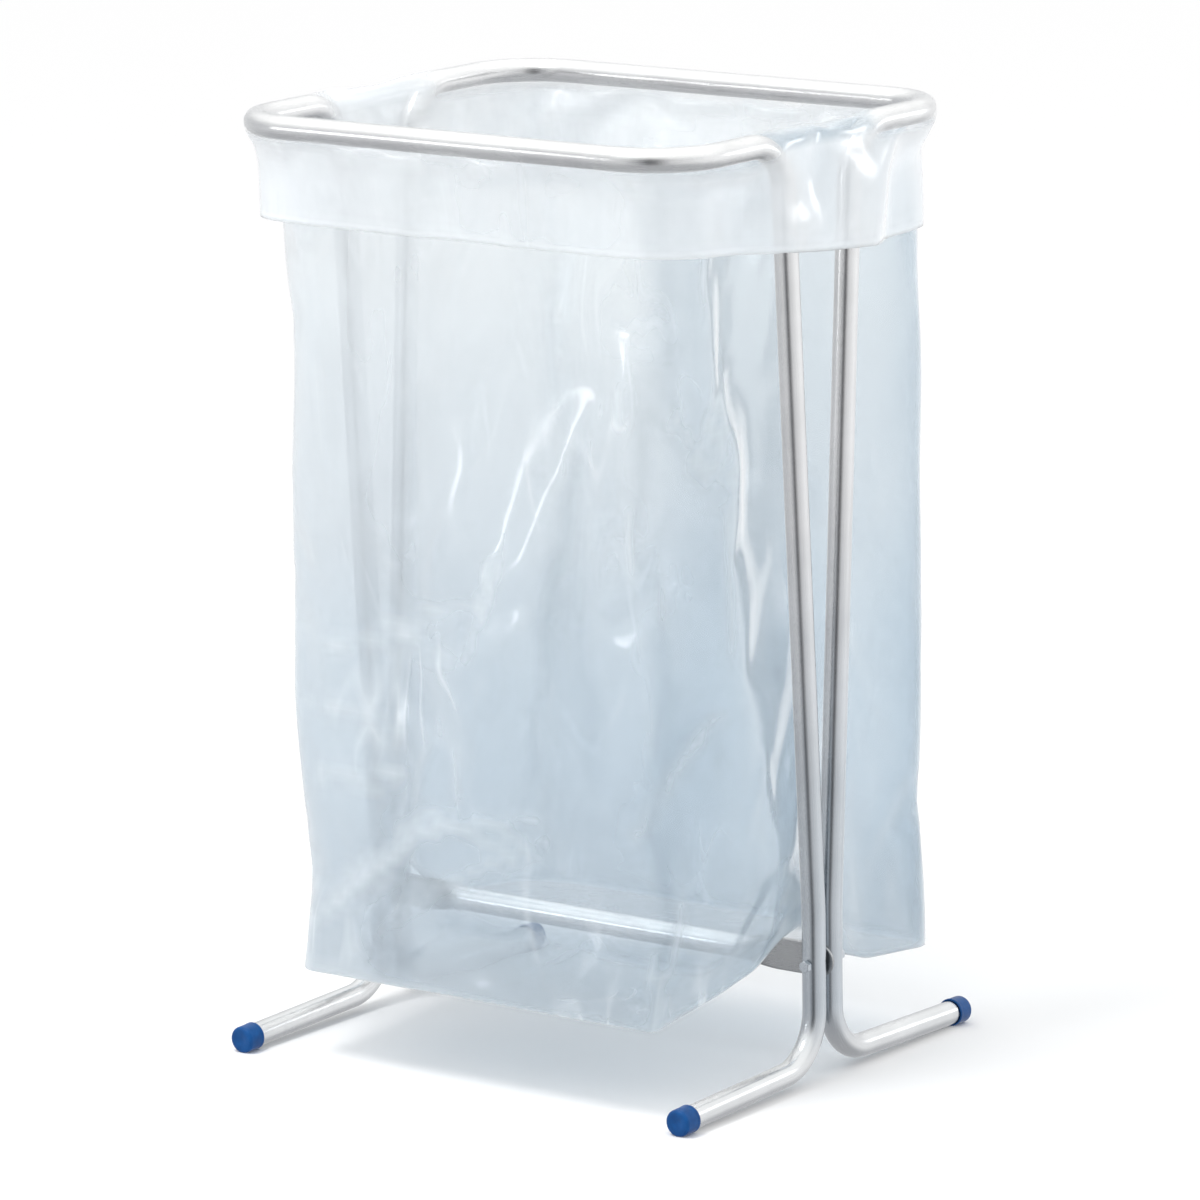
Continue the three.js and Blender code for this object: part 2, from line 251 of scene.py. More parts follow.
# ---- the two tube frames ----

FOOT_END = CAP_REACH - CAP_BASE - CAP_GAP


def toe_height_at(reach):
    """Height of a foot's centre line at a distance from the clamp; the feet tilt a little."""
    return TOE_HEIGHT + (CAP_REACH - CAP_LENGTH / 2 - reach) * math.tan(FOOT_TILT)


def frame_side(x, out, rim_reach):
    """One side of a frame from its foot's end to the rim corner; out is -1 or +1 along Y."""
    clamp_y = out * LEG_SPREAD_CLAMP
    return [
        (Vector((x, out * FOOT_END, toe_height_at(FOOT_END))), 0),
        (Vector((x, clamp_y, toe_height_at(LEG_SPREAD_CLAMP))), FOOT_BEND_RADIUS),
        (Vector((x, clamp_y, KNEE_HEIGHT)), KNEE_RADIUS),
        (Vector((x, out * LEG_SPREAD_TOP, RIM_HEIGHT)), RIM_BEND_RADIUS),
        (Vector((x, out * rim_reach, RIM_HEIGHT)), RIM_CORNER_RADIUS),
    ]


def frame_path(out, rim_reach):
    right = frame_side(SIDE_X, out, rim_reach)
    left = frame_side(-SIDE_X, out, rim_reach)
    return bent_path(right + left[::-1])


def drill(obj, centre, reach):
    """Drills both bolt holes along Y, as far as reach on either side of centre."""
    cutters = []
    for x in (-SIDE_X, SIDE_X):
        ends = [Vector((x, centre + side * reach, CLAMP_HEIGHT)) for side in (-1, 1)]
        stations = [(end, Vector((0, 1, 0))) for end in ends]
        cutters.append(sweep("cutter", stations, BOLT_HOLE_RADIUS, BORE_SIDES))
    return shade_by_angle(cut(obj, cutters), SMOOTH_TURN)


def tube_frame(name, out, rim_reach):
    obj = sweep(name, frame_path(out, rim_reach), TUBE_RADIUS)
    return drill(obj, out * LEG_SPREAD_CLAMP, 2 * TUBE_RADIUS)


# ---- the crossbar ----

CROSSBAR_SIDES = 64
BLEND_START = TAB_END - TAB_FLAT_LENGTH - TAB_BLEND_LENGTH
BLEND_END = BLEND_START + TAB_BLEND_LENGTH
TAB_ROUND_START = TAB_END - TAB_HALF_HEIGHT
TAB_ROUND_LAST = math.radians(84)  # the last ring of the tab's round end before its blunt face
ROUND_RINGS, BLEND_RINGS, TAB_RINGS, TAB_ROUND_RINGS = 6, 24, 4, 14


def pressed_ring(x, sides):
    """The crossbar's section at x: round in the middle, pressed flat at the ends."""
    amount = float(smoothstep(abs(x) - BLEND_START, 0, TAB_BLEND_LENGTH))
    half_height = TUBE_RADIUS + (TAB_HALF_HEIGHT - TUBE_RADIUS) * amount
    half_thickness = TUBE_RADIUS + (TAB_THICKNESS / 2 - TUBE_RADIUS) * amount
    past_round = abs(x) - TAB_ROUND_START
    if past_round > 0:
        half_height = math.sqrt(max(TAB_HALF_HEIGHT**2 - past_round**2, half_thickness**2))
    ring = []
    for step in range(sides):
        angle = 2 * math.pi * step / sides
        z = half_height * math.sin(angle)
        past = max(0.0, abs(z) - (half_height - half_thickness))
        y = math.sqrt(max(0.0, half_thickness**2 - past**2))
        y = -y if math.cos(angle) < 0 else y
        ring.append(Vector((x, y, CLAMP_HEIGHT + z)))
    return ring


def crossbar_bar(name, sides):
    """The undrilled crossbar, with its rings close together where its shape changes."""
    right = list(np.linspace(0, BLEND_START, ROUND_RINGS))[1:]
    right += list(np.linspace(BLEND_START, BLEND_END, BLEND_RINGS))[1:]
    right += list(np.linspace(BLEND_END, TAB_ROUND_START, TAB_RINGS))[1:]
    for angle in np.linspace(0, TAB_ROUND_LAST, TAB_ROUND_RINGS)[1:]:
        right.append(TAB_ROUND_START + TAB_HALF_HEIGHT * math.sin(angle))
    right.append(TAB_END)
    stations = [-x for x in reversed(right)] + [0.0] + right
    vertices = [point for x in stations for point in pressed_ring(x, sides)]
    obj = mesh_object(name, vertices, ring_faces(len(stations), sides))
    add_sweep_uvs(obj, [x - stations[0] for x in stations], sides)
    return obj


def crossbar():
    return drill(crossbar_bar("crossbar_bar", CROSSBAR_SIDES), 0, 4 * TAB_THICKNESS)


# ---- bolts and nuts ----

FASTENER_SIDES = 48
FASTENER_SMOOTH_TURN = 25  # degrees
HEX_CHAMFER = math.radians(30)
HEX_FACE_RADIUS = HEX_ACROSS_FLATS / 2 * 0.96  # the flat face left within the chamfer
THREAD_LENGTH = 3 * NUT_HEIGHT
THREAD_PITCH = 1.0 * MM
THREAD_DEPTH = 0.35 * MM
RINGS_PER_TURN = 8
TIP_CHAMFER = 0.6 * MM
NUT_GAP = 0.3 * MM
COUNTERSINK = 0.5 * MM


def hex_radius(angle):
    """Distance from the axis to a hexagon's side, with a corner at angle 0."""
    half = math.pi / 6
    return HEX_ACROSS_FLATS / 2 / math.cos((angle % (2 * half)) - half)


def fastener_ring(y, radius_at):
    """A ring round the bolt's axis, its radius a function of the angle."""
    angles = [2 * math.pi * step / FASTENER_SIDES for step in range(FASTENER_SIDES)]
    return [Vector((radius_at(a) * math.sin(a), y, radius_at(a) * math.cos(a))) for a in angles]


def hex_ring(y, limit):
    """A hexagon's section, turned down to the given radius where its corners stand past it."""
    return fastener_ring(y, lambda angle: min(hex_radius(angle), limit))


def round_ring(y, radius):
    return fastener_ring(y, lambda angle: radius)


def hex_rings(y_near, y_far, chamfer_far_only):
    """Rings of a hex body from y_near to y_far, chamfered at the far face or at both."""
    corner = HEX_ACROSS_FLATS / 2 / math.cos(math.pi / 6)
    width = corner - HEX_FACE_RADIUS
    depth = width * math.tan(HEX_CHAMFER)
    chamfer = [(HEX_FACE_RADIUS + width * share, depth * share) for share in np.linspace(0, 1, 6)]
    way = 1 if y_far > y_near else -1
    rings = []
    if chamfer_far_only:
        rings.append(hex_ring(y_near, corner))
    else:
        rings += [hex_ring(y_near + way * inward, limit) for limit, inward in chamfer]
    rings += [hex_ring(y_far - way * inward, limit) for limit, inward in reversed(chamfer)]
    return rings


def thread_rings(y_from, y_to):
    """A thread drawn as round ridges, one to a pitch."""
    rings = []
    turns = (y_to - y_from) / THREAD_PITCH
    count = max(2, int(turns * RINGS_PER_TURN))
    for index in range(count + 1):
        share = index / count
        wave = 0.5 - 0.5 * math.cos(2 * math.pi * share * turns)
        rings.append(round_ring(y_from + (y_to - y_from) * share, BOLT_RADIUS - THREAD_DEPTH * wave))
    return rings


def fastener(name, rings, faces, x, y):
    """A piece made of rings, placed at the clamp's height."""
    obj = mesh_object(name, [point for ring in rings for point in ring], faces)
    obj.data.transform(Matrix.Translation((x, y, CLAMP_HEIGHT)))
    return shade_by_angle(obj, FASTENER_SMOOTH_TURN)


def bolt(name, x):
    rings = hex_rings(0, -BOLT_HEAD_HEIGHT, True)[::-1]
    rings.append(round_ring(0, BOLT_RADIUS))
    rings.append(round_ring(BOLT_LENGTH - THREAD_LENGTH, BOLT_RADIUS))
    rings += thread_rings(BOLT_LENGTH - THREAD_LENGTH, BOLT_LENGTH - TIP_CHAMFER)
    rings.append(round_ring(BOLT_LENGTH, BOLT_RADIUS - TIP_CHAMFER))
    faces = ring_faces(len(rings), FASTENER_SIDES)
    return fastener(name, rings, faces, x, -CLAMPED_HALF_WIDTH)


def nut(name, x):
    bore = BOLT_RADIUS + NUT_GAP
    inner = [
        round_ring(NUT_HEIGHT, bore + COUNTERSINK),
        round_ring(NUT_HEIGHT - COUNTERSINK, bore),
        round_ring(COUNTERSINK, bore),
        round_ring(0, bore + COUNTERSINK),
    ]
    rings = hex_rings(0, NUT_HEIGHT, False) + inner
    faces = ring_faces(len(rings), FASTENER_SIDES, closed_ends=False)
    last = (len(rings) - 1) * FASTENER_SIDES
    for side in range(FASTENER_SIDES):
        after = (side + 1) % FASTENER_SIDES
        faces.append((last + side, last + after, after, side))
    return fastener(name, rings, faces, x, CLAMPED_HALF_WIDTH)


# ---- foot caps ----

CAP_SIDES = 64
CAP_SMOOTH_TURN = 50  # degrees
CAP_BODY_RADIUS = CAP_RADIUS - 0.3 * MM
CAP_LIP = 0.8 * MM
CAP_STEP = (3 * MM, 3.6 * MM, 4.2 * MM)  # along the cap, from its thick rim down to its body
CAP_ROUND = 3.5 * MM
DIMPLE_RADII = (6 * MM, 5 * MM)  # of the shallow dimple in the cap's end, at its edge and its floor
DIMPLE_DEPTH = 0.5 * MM
AT_AXIS = 0.001 * MM


def arc(centre, radius, start, end, steps=6):
    """Points (along, out) of an arc in the cap's profile."""
    angles = np.linspace(start, end, steps)
    return [(centre[0] + radius * math.sin(a), centre[1] + radius * math.cos(a)) for a in angles]


def foot_cap(name, x, out):
    """A moulded cap pushed over the tube: a bore, a rounded lip and a rounded end with a dimple."""
    bore = TUBE_RADIUS + CAP_GAP
    lip = (CAP_RADIUS - bore) / 2
    shoulder = (CAP_LENGTH - CAP_ROUND, CAP_BODY_RADIUS - CAP_ROUND)
    profile = [(CAP_LENGTH - CAP_BASE, AT_AXIS), (CAP_LENGTH - CAP_BASE, bore), (CAP_LIP, bore)]
    profile += arc((lip, bore + lip), lip, -math.pi, 0, 8)
    profile += zip(CAP_STEP, (CAP_RADIUS, CAP_BODY_RADIUS + 0.08 * MM, CAP_BODY_RADIUS))
    profile += arc(shoulder, CAP_ROUND, 0, math.pi / 2)
    profile += [(CAP_LENGTH, DIMPLE_RADII[0]), (CAP_LENGTH - DIMPLE_DEPTH, DIMPLE_RADII[1])]
    profile.append((CAP_LENGTH - DIMPLE_DEPTH, AT_AXIS))
    vertices = []
    for along, radius in profile:
        for step in range(CAP_SIDES):
            angle = 2 * math.pi * step / CAP_SIDES
            vertices.append((radius * math.cos(angle), along, radius * math.sin(angle)))
    obj = mesh_object(name, vertices, ring_faces(len(profile), CAP_SIDES))
    tilt = Matrix.Rotation(-FOOT_TILT, 4, "X")
    lift = Matrix.Translation((0, 0, TOE_HEIGHT))
    obj.data.transform(lift @ tilt @ Matrix.Translation((0, -CAP_LENGTH / 2, 0)))
    for vertex in obj.data.vertices:
        vertex.co.z = max(vertex.co.z, 0.0)
    turn = Matrix.Identity(4) if out > 0 else Matrix.Rotation(math.pi, 4, "Z")
    reach = CAP_REACH - CAP_LENGTH / 2
    obj.data.transform(Matrix.Translation((x, out * reach, 0)) @ turn)
    return shade_by_angle(obj, CAP_SMOOTH_TURN)


# ---- the sack ----

FILM = 0.5 * MM
RAIL_FILM_RADIUS = TUBE_RADIUS + 0.9 * MM
SIDE_COLUMNS = {"x": 48, "y": 42}
BODY_ROWS = 80
ROLL_ROWS = 8
CUFF_ROWS = 12
POINT_SPACING = 11 * MM

BODY_HALF_WIDTH = 266 * MM
BOTTOM_LEVEL = 94 * MM
TABS_START = 150 * MM  # from the middle, where the bottom starts to lie over the crossbar's tabs
GAP_HALF_LENGTH = 112 * MM  # between the two frames' rim bends
GAP_EDGE = (SIDE_X - 30 * MM, SIDE_X - 15 * MM)
# How far each bottom corner at the front is drawn in (left, right), and where that fades out.
CORNER_TUCKS = {-1: 46 * MM, 1: 28 * MM}
TUCK_HEIGHTS = (90 * MM, 450 * MM)
TUCK_FROM_MIDDLE = (60 * MM, BODY_HALF_WIDTH)
TUCK_FORWARD = (-60 * MM, 235 * MM)

HEM_FRONT = RIM_HEIGHT - 100 * MM
HEM_BACK = RIM_HEIGHT - 126 * MM
CUFF_TUCK = 16 * MM  # how far the cuff hangs in under the rail, away from the legs
CUFF_TUCK_FROM_LEGS = (80 * MM, 140 * MM)

# Where the film stands at each height (height, value), all in mm.
FRONT_FACE = [(983, -219.6), (880, -219), (500, -214), (200, -222), (92, -240)]
BACK_FACE = [(983, 232.6), (880, 232), (500, 230), (200, 231), (84, 236)]
CORNER_RADII = [
    [(983, 59), (870, 60), (780, 86), (450, 76), (95, 20)],  # front left
    [(983, 59), (870, 74), (600, 80), (300, 50), (95, 12)],  # front right
    [(983, 59), (880, 34), (700, 20), (400, 14), (80, 34)],  # back right
    [(983, 59), (880, 60), (400, 60), (80, 50)],  # back left
]

# Height of the sack's bottom from front to back (y, height), in mm: over the crossbar in the
# middle, and over its wider tabs at the sides.
MIDDLE_BOTTOM = [
    (-250, 95), (-140, 95), (-55, 107), (-14, 134), (0, 139.4), (14, 134), (55, 105), (240, 88),
]
SIDE_BOTTOM = [
    (-250, 91), (-200, 101), (-130, 114), (-80, 129), (-40, 150), (-5, 157), (45, 122), (110, 100),
    (240, 86),
]

SOFT_HOLD = 0.3  # how firmly the bottom and the hem keep their place
LEAST_HOLD = 0.001
SOFT_HOLD_HEIGHT = 40 * MM
CLING_BELOW_RAIL = (8 * MM, 24 * MM)
CLING_FROM_BAR = (20 * MM, 45 * MM)


def loop_plan(half_width, front, back, radii):
    """Points and outward normals round a rounded rectangle, from the middle of the front-left
    corner towards +X. radii are those of the front-left, front-right, back-right and back-left
    corners."""
    centres = [
        (-half_width + radii[0], front + radii[0]),
        (half_width - radii[1], front + radii[1]),
        (half_width - radii[2], back - radii[2]),
        (-half_width + radii[3], back - radii[3]),
    ]
    points, normals = [], []
    for side in range(4):
        after = (side + 1) % 4
        out = -math.pi / 2 + side * math.pi / 2
        start_centre, start_radius = np.array(centres[side]), radii[side]
        end_centre, end_radius = np.array(centres[after]), radii[after]
        direction = np.array((math.cos(out), math.sin(out)))
        first = start_centre + direction * start_radius
        last = end_centre + direction * end_radius
        straight = np.linalg.norm(last - first)
        arc_before, arc_after = start_radius * math.pi / 4, end_radius * math.pi / 4
        total = arc_before + straight + arc_after
        count = SIDE_COLUMNS["x"] if side % 2 == 0 else SIDE_COLUMNS["y"]
        for step in range(count):
            along = total * step / count
            if along < arc_before:
                angle = out - math.pi / 4 + along / start_radius
                normal = np.array((math.cos(angle), math.sin(angle)))
                point = start_centre + normal * start_radius
            elif along < arc_before + straight:
                normal = direction
                point = first + (last - first) * (along - arc_before) / straight
            else:
                angle = out + (along - arc_before - straight) / end_radius
                normal = np.array((math.cos(angle), math.sin(angle)))
                point = end_centre + normal * end_radius
            points.append(point)
            normals.append(normal)
    return np.array(points), np.array(normals)


def keyed(place, keys):
    """The value at a place, from (place, value) keys in mm."""
    keys = np.array(sorted(keys)) * MM
    return np.interp(place, keys[:, 0], keys[:, 1])


def bottom_height(x, y):
    share = smoothstep(np.abs(x), TABS_START, BODY_HALF_WIDTH)
    return (1 - share) * keyed(y, MIDDLE_BOTTOM) + share * keyed(y, SIDE_BOTTOM)


def body_plan(height):
    """Points round the body at a height, with the bottom corners at the front drawn in."""
    radii = [keyed(height, keys) for keys in CORNER_RADII]
    points = loop_plan(BODY_HALF_WIDTH, keyed(height, FRONT_FACE), keyed(height, BACK_FACE), radii)[0]
    low = 1 - smoothstep(height, *TUCK_HEIGHTS)
    forward = smoothstep(-points[:, 1], *TUCK_FORWARD)
    for side, tuck in CORNER_TUCKS.items():
        outward = smoothstep(side * points[:, 0], *TUCK_FROM_MIDDLE)
        points[:, 0] -= side * tuck * low * forward * outward
    return points


def body_rows():
    """Points of the sack's body, from its bottom edge up to the rail's inner side."""
    edge = body_plan(BOTTOM_LEVEL)
    edge_height = bottom_height(edge[:, 0], edge[:, 1])
    rows = []
    for share in np.linspace(0, 1, BODY_ROWS + 1):
        plan = body_plan(BOTTOM_LEVEL + (RIM_HEIGHT - BOTTOM_LEVEL) * share)
        rows.append(np.column_stack([plan, edge_height + (RIM_HEIGHT - edge_height) * share]))
    return rows


def gap_share(x, y):
    """1 midway between the frames' rim bends on either side, 0 where the rail carries the film."""
    return (1 - smoothstep(np.abs(y), 0, GAP_HALF_LENGTH)) * smoothstep(np.abs(x), *GAP_EDGE)


def rail_loop():
    """Points along the rim tube's centre line, and their outward normals."""
    return loop_plan(SIDE_X, RIM_FRONT, RIM_BACK, [RIM_CORNER_RADIUS] * 4)


def roll_rows():
    """Points where the film rolls over the rail, from its inner side over its top."""
    centre, normal = rail_loop()
    radius = RAIL_FILM_RADIUS
    rows = []
    for row in range(1, ROLL_ROWS):
        angle = math.pi * (1 - row / ROLL_ROWS)
        plan = centre + normal * radius * math.cos(angle)
        height = np.full(len(plan), RIM_HEIGHT + radius * math.sin(angle))
        rows.append(np.column_stack([plan, height]))
    return rows


def cuff_rows():
    """Points of the film that hangs outside the rail, down to the hem."""
    centre, normal = rail_loop()
    along = (centre[:, 1] - RIM_FRONT) / (RIM_BACK - RIM_FRONT)
    hem = HEM_FRONT + (HEM_BACK - HEM_FRONT) * smoothstep(along, 0, 0.8)
    away_from_legs = smoothstep(np.abs(centre[:, 1]), *CUFF_TUCK_FROM_LEGS)
    rows = []
    for row in range(CUFF_ROWS + 1):
        share = row / CUFF_ROWS
        height = RIM_HEIGHT + (hem - RIM_HEIGHT) * share
        tuck = CUFF_TUCK * smoothstep(share, 0, 0.5) * away_from_legs
        plan = centre + normal * (RAIL_FILM_RADIUS - tuck)[:, None]
        rows.append(np.column_stack([plan, height]))
    return rows


def bottom_patch(edge):
    """The grid of point numbers over the bottom sheet, and the grid's interior points, spanned
    between the four sides of the bottom's edge loop."""
    nx, ny = SIDE_COLUMNS["x"], SIDE_COLUMNS["y"]
    count = len(edge)
    front = edge[: nx + 1, :2]
    right = edge[nx : nx + ny + 1, :2]
    back = edge[nx + ny : 2 * nx + ny + 1, :2][::-1]
    left = np.vstack([edge[2 * nx + ny :, :2], edge[:1, :2]])[::-1]
    grid = np.zeros((ny + 1, nx + 1), int)
    grid[0, :] = range(nx + 1)
    grid[:, nx] = range(nx, nx + ny + 1)
    grid[ny, ::-1] = range(nx + ny, 2 * nx + ny + 1)
    grid[::-1, 0] = [index % count for index in range(2 * nx + ny, count + 1)]
    inside = []
    for j in range(1, ny):
        v = j / ny
        for i in range(1, nx):
            u = i / nx
            ruled = (1 - v) * front[i] + v * back[i] + (1 - u) * left[j] + u * right[j]
            corners = (1 - u) * (1 - v) * front[0] + u * (1 - v) * front[nx]
            corners = corners + (1 - u) * v * back[0] + u * v * back[nx]
            inside.append(ruled - corners)
    inside = np.array(inside)
    return grid, np.column_stack([inside, bottom_height(inside[:, 0], inside[:, 1])])


def sheet_faces(row_count, columns, grid):
    """The faces of the rows, which go all the way round, and then those of the bottom's grid."""
    faces = ring_faces(row_count, columns, closed_ends=False)
    for near, far in zip(grid, grid[1:]):
        for column in range(len(near) - 1):
            faces.append((near[column], far[column], far[column + 1], near[column + 1]))
    return faces


def sack_sheet():
    """The sack as one open sheet before it settles: bottom, body, roll over the rail and cuff.
    Returns its object and how firmly every point is held: 1 on the rail, SOFT_HOLD at the bottom
    and along the hem."""
    body = body_rows()
    rows = body + roll_rows() + cuff_rows()
    columns = len(rows[0])
    row_points = np.vstack(rows)
    grid, inside = bottom_patch(rows[0])
    grid[1:-1, 1:-1] = len(row_points) + np.arange(len(inside)).reshape(np.array(grid.shape) - 2)
    points = np.vstack([row_points, inside])
    obj = mesh_object("sack_film", points, sheet_faces(len(rows), columns, grid))
    on_rail = 1 - smoothstep(gap_share(points[:, 0], points[:, 1]), 0, 0.3)
    roll_start, roll_end = (len(body) - 1) * columns, (len(body) + ROLL_ROWS) * columns
    held = np.zeros(len(points))
    held[roll_start:roll_end] = on_rail[roll_start:roll_end]
    above_bottom = points[:, 2] - bottom_height(points[:, 0], points[:, 1])
    held = np.maximum(held, SOFT_HOLD * (1 - smoothstep(above_bottom, 0, SOFT_HOLD_HEIGHT)))
    held[len(row_points) - columns : len(row_points)] = SOFT_HOLD
    cuff = np.zeros(len(points))
    cuff[roll_end : len(row_points)] = 1
    store_attribute(obj, "cuff", cuff)
    store_attribute(obj, "cling", cling_share(points, on_rail))
    return obj, held


def cling_share(points, on_rail):
    """1 where the film lies on the rail or on the crossbar, which makes it look clear."""
    below_rim = RIM_HEIGHT - points[:, 2]
    from_bar = np.hypot(points[:, 1], points[:, 2] - CLAMP_HEIGHT)
    near_rail = on_rail * (1 - smoothstep(below_rim, *CLING_BELOW_RAIL))
    return np.maximum(near_rail, 1 - smoothstep(from_bar, *CLING_FROM_BAR))


def store_attribute(obj, name, values):
    attribute = obj.data.attributes.new(name, "FLOAT", "POINT")
    attribute.data.foreach_set("value", np.asarray(values, np.float32))


def coordinates(mesh):
    flat = np.zeros(len(mesh.vertices) * 3)
    mesh.vertices.foreach_get("co", flat)
    return flat.reshape(-1, 3)


# ---- how the film settles ----

SLACK = 0.013  # how much more film there is than the even shape needs
DRAPE_FRAMES = 30
DRAPE_LIMIT = 30 * MM
COLLIDER_SIDES = 16
COLLIDER_THICKNESS = 0.5 * MM
COLLIDER_FRICTION = 5
STIFFNESS = {"tension": 100, "compression": 100, "shear": 60, "bending": 0.15}
DAMPING = {"tension": 1, "compression": 1, "shear": 1, "bending": 0.1, "air": 1}
MASS = 0.02
PIN_STIFFNESS = 5
STEPS = 7
GRAVITY_SHARE = 0.1
FIRST_WAVES = [(31, 17, 23), (-27, 41, 12), (47, -33, 27), (19, 61, -31), (-53, 23, 19)]  # radians/m
FIRST_WAVE_PHASE = 1.7
FIRST_WAVE_HEIGHT = 3 * MM
CREASE_CURVATURE = (12, 55)  # per metre, where whitening of the film starts and is full


def colliders():
    """What the film drapes over, in few faces: the crossbar and both frames."""
    objs = [crossbar_bar("collider", COLLIDER_SIDES)]
    for out, rim_reach in ((-1, -RIM_FRONT), (1, RIM_BACK)):
        objs.append(sweep("collider", frame_path(out, rim_reach), TUBE_RADIUS, COLLIDER_SIDES))
    for obj in objs:
        obj.modifiers.new("collision", "COLLISION")
        obj.collision.thickness_outer = COLLIDER_THICKNESS
        obj.collision.cloth_friction = COLLIDER_FRICTION
    return objs


# Creases the film keeps from its packing and handling: lines through (x, y, z) points, in mm.
FOLDS = [
    [(-205, -222, 145), (-60, -218, 262), (85, -217, 296)],
    [(-160, -225, 107), (-48, -220, 200), (100, -218, 278)],
    [(-205, -217, 300), (-95, -216, 318)],
    [(-205, -215, 372), (-100, -215, 366)],
    [(-200, -214, 436), (-90, -214, 462)],
    [(5, -214, 452), (40, -214, 545)],
    [(30, -214, 462), (75, -214, 500)],
    [(205, -220, 290), (236, -205, 350), (262, -172, 410)],
    [(265, -140, 215), (265, -90, 350), (265, -45, 218)],
    [(265, -175, 205), (265, -70, 236), (265, 0, 196)],
    [(245, -200, 725), (265, -166, 640), (265, -120, 765)],
    [(265, 96, 450), (265, 149, 351)],
    [(265, 160, 330), (262, 200, 273), (265, 149, 219)],
    [(70, -230, 970), (82, -225, 800)],
    [(120, -230, 970), (135, -225, 760)],
    [(165, -230, 970), (178, -225, 820)],
    [(258, -232, 100), (266, -185, 150)],
    [(258, -234, 100), (222, -232, 168)],
    [(262, -232, 110), (265, -210, 205)],
    [(265, -75, 160), (265, -25, 176)],
    [(265, 20, 160), (265, 75, 128)],
]
FOLD_HEIGHT = 5 * MM
FOLD_WIDTH = 9 * MM


def distance_to_line(points, corners):
    """How far each point is from a line through corners in mm."""
    nearest = np.full(len(points), np.inf)
    corners = np.array(corners) * MM
    for start, end in zip(corners, corners[1:]):
        along = end - start
        share = np.clip((points - start) @ along / (along @ along), 0, 1)
        away = np.linalg.norm(points - start - share[:, None] * along, axis=1)
        nearest = np.minimum(nearest, away)
    return nearest


def first_push(points):
    """How far the even film is pushed out before it settles, so that it folds along the creases
    and, between them, along long waves in space."""
    push = np.zeros(len(points))
    for number, wave in enumerate(FIRST_WAVES):
        phase = points @ np.array(wave) + FIRST_WAVE_PHASE * number
        push += FIRST_WAVE_HEIGHT / len(FIRST_WAVES) * np.sin(phase)
    for corners in FOLDS:
        push += FOLD_HEIGHT * np.exp(-((distance_to_line(points, corners) / FOLD_WIDTH) ** 2))
    return push


def neighbour_mean(obj, values):
    """For every point, the mean of a value over the points that share an edge with it."""
    edges = np.zeros(len(obj.data.edges) * 2, int)
    obj.data.edges.foreach_get("vertices", edges)
    start, end = edges.reshape(-1, 2).T
    count, total = np.zeros(len(values)), np.zeros(values.shape)
    for here, there in ((start, end), (end, start)):
        np.add.at(count, here, 1)
        np.add.at(total, here, values[there])
    return (total.T / count).T


def crease_strength(obj):
    """0 where the film is flat, 1 where it is folded sharply, from how far each point stands from
    the middle of its neighbours."""
    points = coordinates(obj.data)
    offset = np.linalg.norm(neighbour_mean(obj, points) - points, axis=1)
    curvature = 4 * offset / POINT_SPACING**2
    crease = smoothstep(curvature, *CREASE_CURVATURE)
    return (crease + neighbour_mean(obj, crease)) / 2


def add_cloth(obj, held):
    """Makes the sheet thin film, pinned as firmly as held says."""
    pinned = obj.vertex_groups.new(name="pinned")
    for index in np.flatnonzero(held > LEAST_HOLD):
        pinned.add([int(index)], float(held[index]), "REPLACE")
    cloth = obj.modifiers.new("drape", "CLOTH")
    settings = cloth.settings
    settings.quality = STEPS
    settings.mass = MASS
    for name, value in STIFFNESS.items():
        setattr(settings, f"{name}_stiffness", value)
    for name, value in DAMPING.items():
        setattr(settings, f"{name}_damping", value)
    settings.pin_stiffness = PIN_STIFFNESS
    settings.vertex_group_mass = pinned.name
    settings.shrink_min = -SLACK
    settings.effector_weights.gravity = GRAVITY_SHARE
    cloth.collision_settings.distance_min = 1 * MM
    cloth.collision_settings.use_self_collision = False
    cloth.point_cache.frame_start, cloth.point_cache.frame_end = 1, DRAPE_FRAMES


def drape(obj, held):
    """Lets the film settle. It hangs from the rail, with a little more film than it needs."""
    hung = coordinates(obj.data)
    outward = hung * (1, 1, 0)
    outward /= np.linalg.norm(outward, axis=1)[:, None] + 1 * MM
    push = first_push(hung) * (1 - held)
    obj.data.vertices.foreach_set("co", (hung + outward * push[:, None]).ravel())
    add_cloth(obj, held)
    obstacles = colliders()
    for moment in range(1, DRAPE_FRAMES + 1):
        bpy.context.scene.frame_set(moment)
    depsgraph = bpy.context.evaluated_depsgraph_get()
    settled = coordinates(obj.evaluated_get(depsgraph).data)
    moved = settled - hung
    moved = (moved + neighbour_mean(obj, moved)) / 2
    distance = np.linalg.norm(moved, axis=1)[:, None] + 0.001 * MM
    settled = hung + moved * np.tanh(distance / DRAPE_LIMIT) * DRAPE_LIMIT / distance
    for obstacle in obstacles:
        bpy.data.objects.remove(obstacle)
    obj.modifiers.clear()
    obj.vertex_groups.clear()
    obj.data.vertices.foreach_set("co", settled.ravel())
    obj.data.update()


def sack():
    """The settled sheet, smoothed and given its two sides."""
    obj, held = sack_sheet()
    drape(obj, held)
    store_attribute(obj, "crease", crease_strength(obj))
    smooth = obj.modifiers.new("smooth", "SUBSURF")
    smooth.levels = smooth.render_levels = 1
    shell = obj.modifiers.new("thickness", "SOLIDIFY")
    shell.thickness = FILM
    shell.offset = 0
    apply_modifiers(obj)
    obj.data.polygons.foreach_set("use_smooth", [True] * len(obj.data.polygons))
    return obj


# ---- material helpers ----


